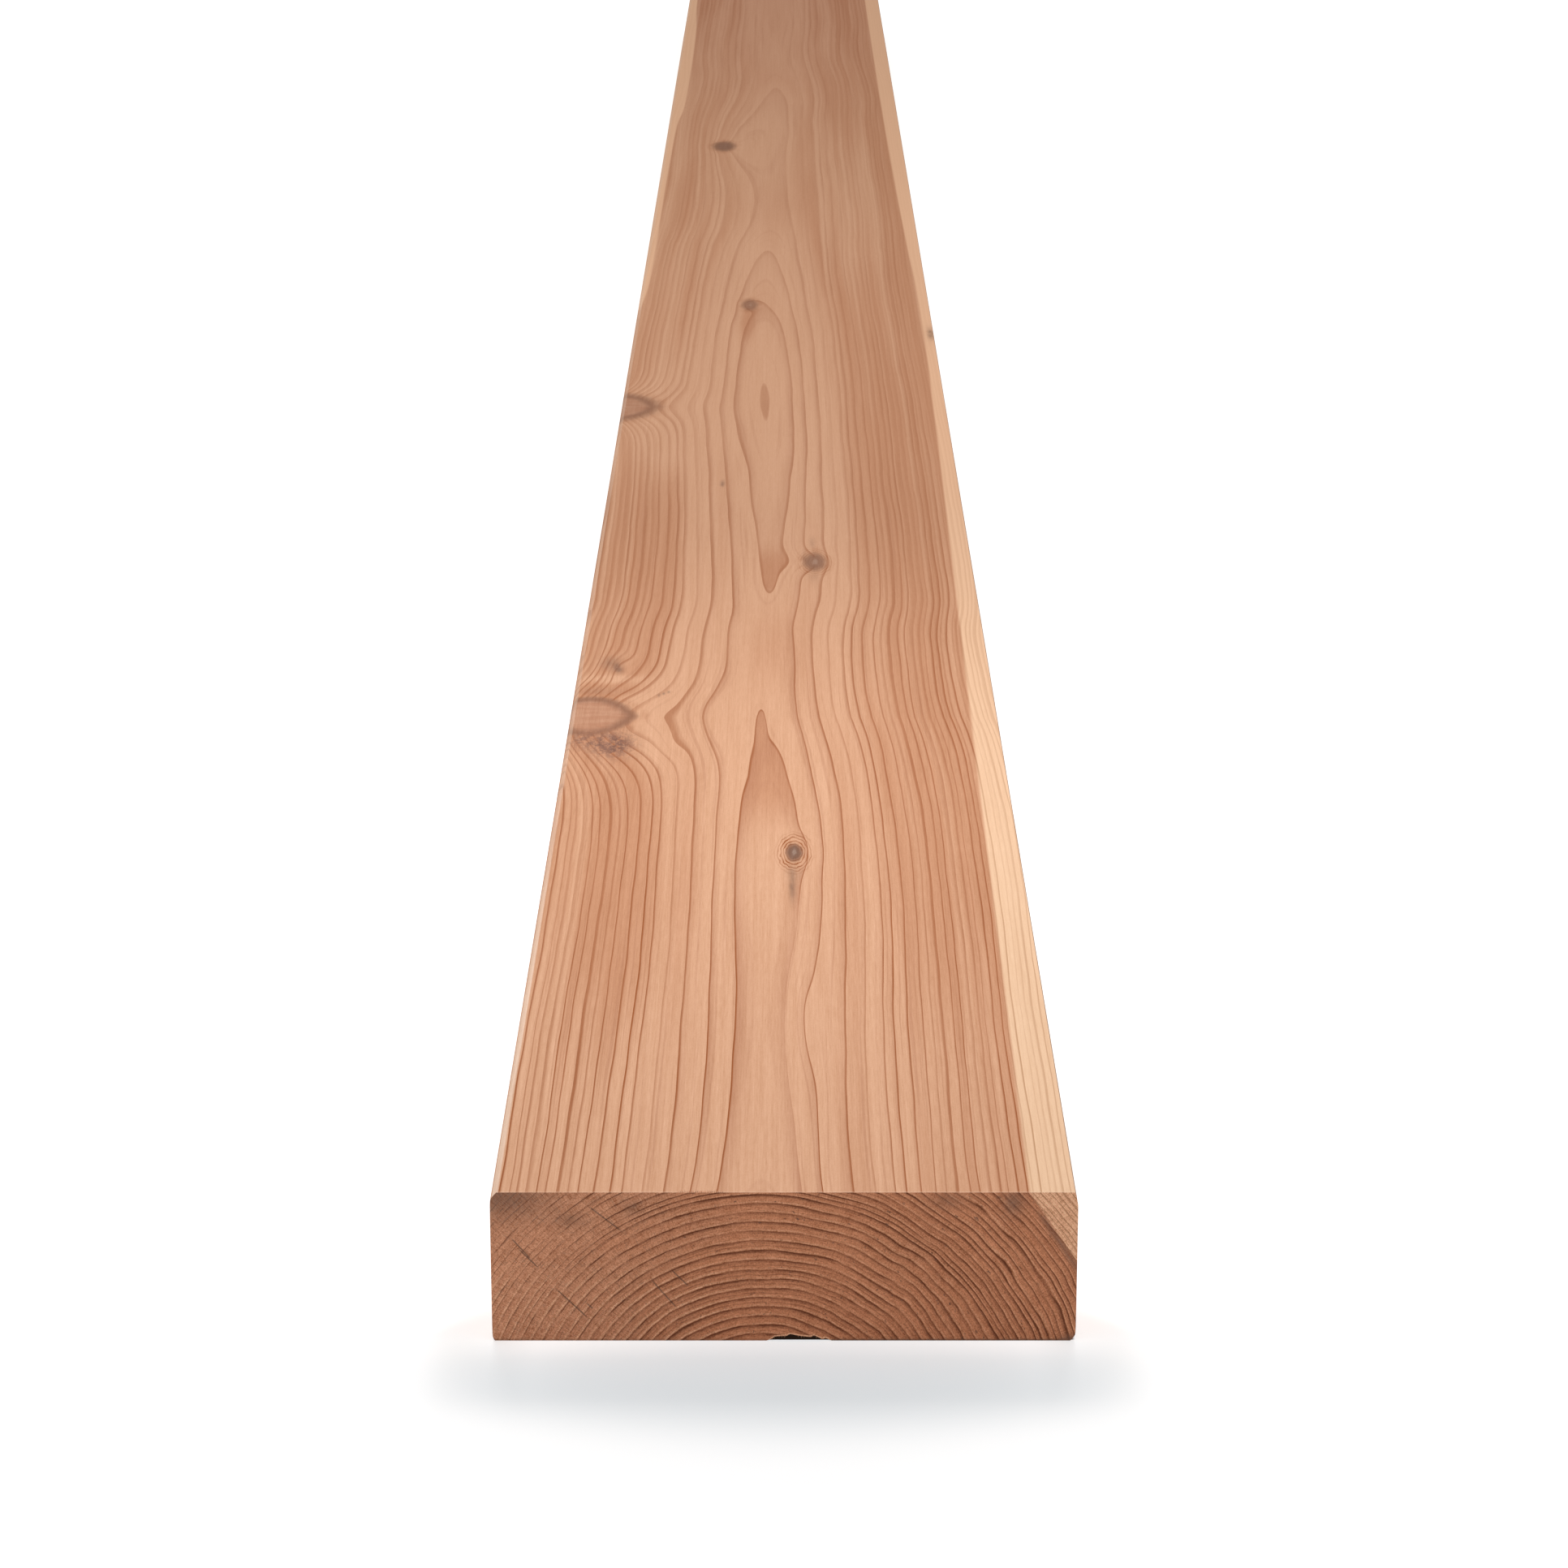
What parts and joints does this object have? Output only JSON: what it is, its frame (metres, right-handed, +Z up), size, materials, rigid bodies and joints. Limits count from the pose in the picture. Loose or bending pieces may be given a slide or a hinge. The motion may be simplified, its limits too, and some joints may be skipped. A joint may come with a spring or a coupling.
{
  "type": "redwood board",
  "caption": "Straight surfaced softwood board with square sawn ends and eased long edges, one end slightly torn out at the pith, for decking, framing and trim.",
  "frame": {"origin": "middle of the bottom face: half way along the board and half way across it", "axes": "+Y along the length, away from the end with the tear-out; +X across the width, towards the sapwood edge; +Z up through the thickness"},
  "size_m": [0.1396, 2.4384, 0.0381],
  "materials": {
    "redwood": "planed, unfinished heartwood with a strip of pale sapwood along one edge"
  },
  "bodies": {
    "root": {"board": "redwood"}
  },
  "joints": []
}
